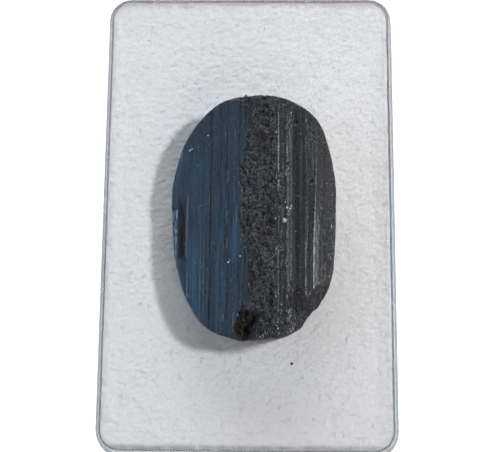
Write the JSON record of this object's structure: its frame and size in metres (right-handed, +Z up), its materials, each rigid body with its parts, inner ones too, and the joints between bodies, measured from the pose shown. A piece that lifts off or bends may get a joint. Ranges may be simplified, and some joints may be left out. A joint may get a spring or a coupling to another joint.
{
  "type": "tourmaline crystal specimen in an open tray",
  "caption": "Oval slice of a black tourmaline crystal with long ribs and chipped ends, lying on a white foam pad in an open clear plastic specimen tray.",
  "frame": {"origin": "middle of the tray's underside, on the surface it rests on", "axes": "+Z up, +Y along the crystal and along the tray's long side, towards the crystal's unbroken end, +X across it"},
  "size_m": [0.041, 0.065, 0.0203],
  "materials": {
    "tourmaline": "black to blue-black, glassy along its ribs and granular on its crest",
    "foam": "white matt foam with a fine soft grain",
    "clear_plastic": "clear moulded polystyrene, glossy"
  },
  "bodies": {
    "root": {"crystal": "tourmaline", "pad": "foam", "tray": "clear_plastic"}
  },
  "joints": []
}
